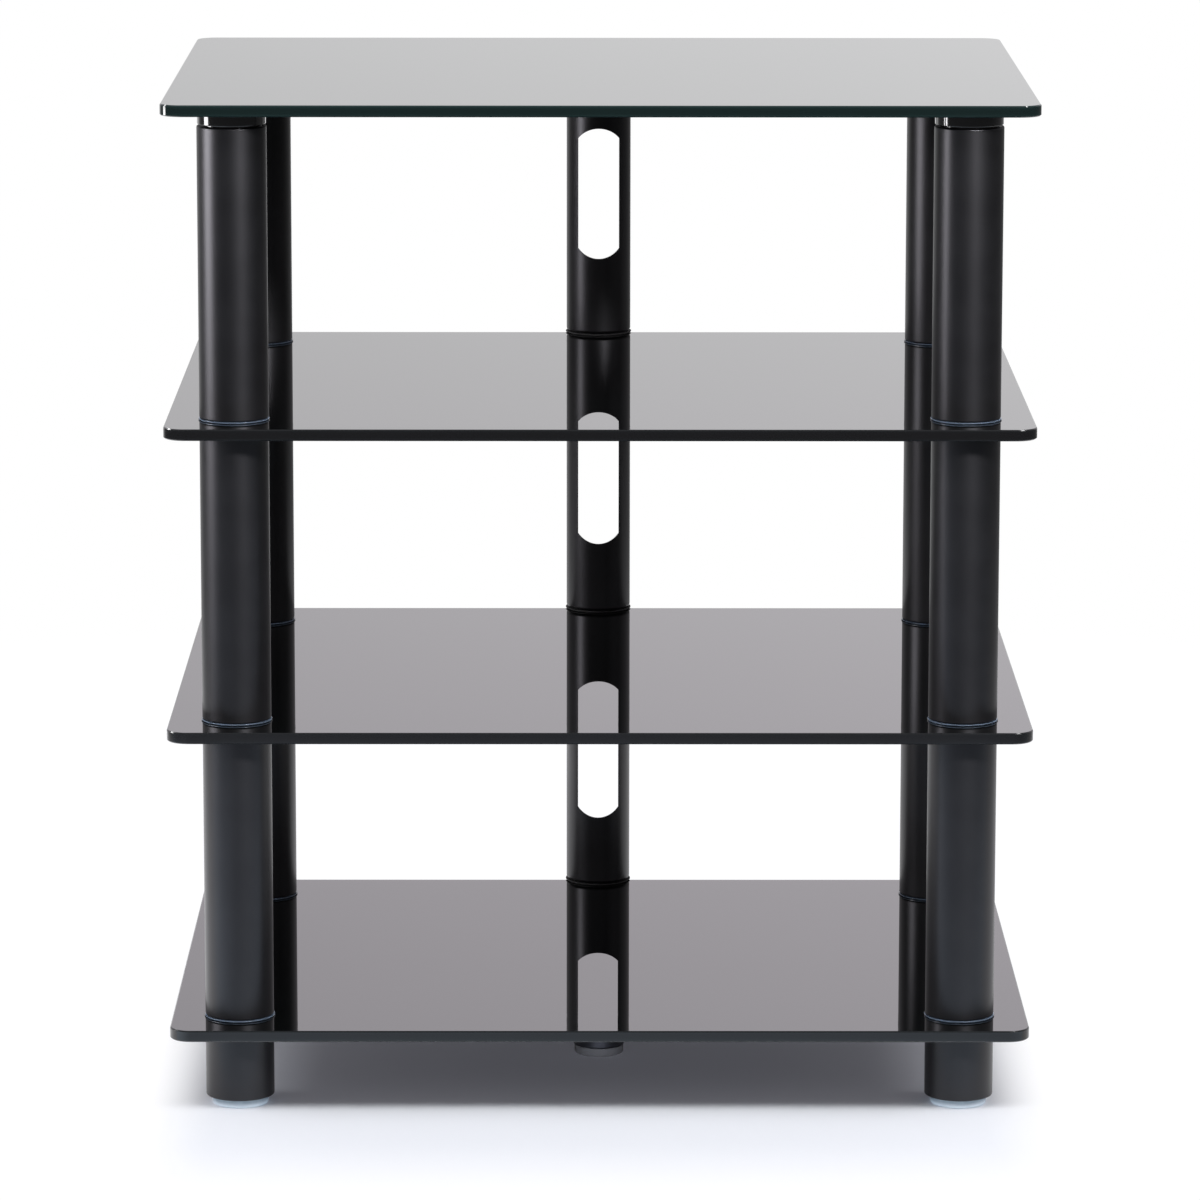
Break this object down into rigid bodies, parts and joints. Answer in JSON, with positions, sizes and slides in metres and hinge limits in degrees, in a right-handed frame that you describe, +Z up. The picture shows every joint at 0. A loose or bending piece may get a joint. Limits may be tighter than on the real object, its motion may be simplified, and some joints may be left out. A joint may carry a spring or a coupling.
{
  "type": "audio equipment rack",
  "caption": "Free-standing audio rack: black glass shelves clamped between black tubular corner posts, with a slotted cable column at the rear.",
  "frame": {"origin": "on the floor, under the middle of the overall plan", "axes": "+Z up, -Y to the front, +X to the right as seen from the front"},
  "size_m": [0.6, 0.4926, 0.7094],
  "materials": {
    "black_glass": "opaque black back-painted toughened glass, polished, with ground edges",
    "powder_coat": "satin black powder coat on steel tube",
    "gloss_disc": "gloss black lacquer",
    "clear_washer": "clear, faintly blue",
    "clear_foot": "clear moulded plastic",
    "black_rubber": "matt",
    "black_plastic": "fine matt moulding",
    "zinc_steel": "bright zinc plate"
  },
  "bodies": {
    "root": {"leg_front_left": "powder_coat", "foot_front_left": "clear_foot", "leg_front_right": "powder_coat", "foot_front_right": "clear_foot", "leg_rear_left": "powder_coat", "foot_rear_left": "clear_foot", "leg_rear_right": "powder_coat", "foot_rear_right": "clear_foot", "leg_column": "powder_coat", "foot_column": "clear_foot", "leg_middle": "powder_coat", "pad_middle": "black_rubber", "shelf_bottom": "black_glass", "shelf_lower_middle": "black_glass", "shelf_upper_middle": "black_glass", "shelf_top": "black_glass", "washer_front_left_bottom": "clear_washer", "tube_front_left_bottom": "powder_coat", "washer_front_right_bottom": "clear_washer", "tube_front_right_bottom": "powder_coat", "washer_rear_left_bottom": "clear_washer", "tube_rear_left_bottom": "powder_coat", "washer_rear_right_bottom": "clear_washer", "tube_rear_right_bottom": "powder_coat", "washer_column_bottom": "black_rubber", "column_tube_bottom": "powder_coat", "stud_column_bottom": "zinc_steel", "washer_front_left_middle": "clear_washer", "tube_front_left_middle": "powder_coat", "washer_front_right_middle": "clear_washer", "tube_front_right_middle": "powder_coat", "washer_rear_left_middle": "clear_washer", "tube_rear_left_middle": "powder_coat", "washer_rear_right_middle": "clear_washer", "tube_rear_right_middle": "powder_coat", "washer_column_middle": "black_rubber", "column_tube_middle": "powder_coat", "stud_column_middle": "zinc_steel", "washer_front_left_top": "clear_washer", "tube_front_left_top": "powder_coat", "washer_front_right_top": "clear_washer", "tube_front_right_top": "powder_coat", "washer_rear_left_top": "clear_washer", "tube_rear_left_top": "powder_coat", "washer_rear_right_top": "clear_washer", "tube_rear_right_top": "powder_coat", "washer_column_top": "black_rubber", "column_tube_top": "powder_coat", "stud_column_top": "zinc_steel", "column_cap": "black_plastic", "disc_front_left": "gloss_disc", "rod_front_left": "zinc_steel", "disc_front_right": "gloss_disc", "rod_front_right": "zinc_steel", "disc_rear_left": "gloss_disc", "rod_rear_left": "zinc_steel", "disc_rear_right": "gloss_disc", "rod_rear_right": "zinc_steel"}
  },
  "joints": []
}
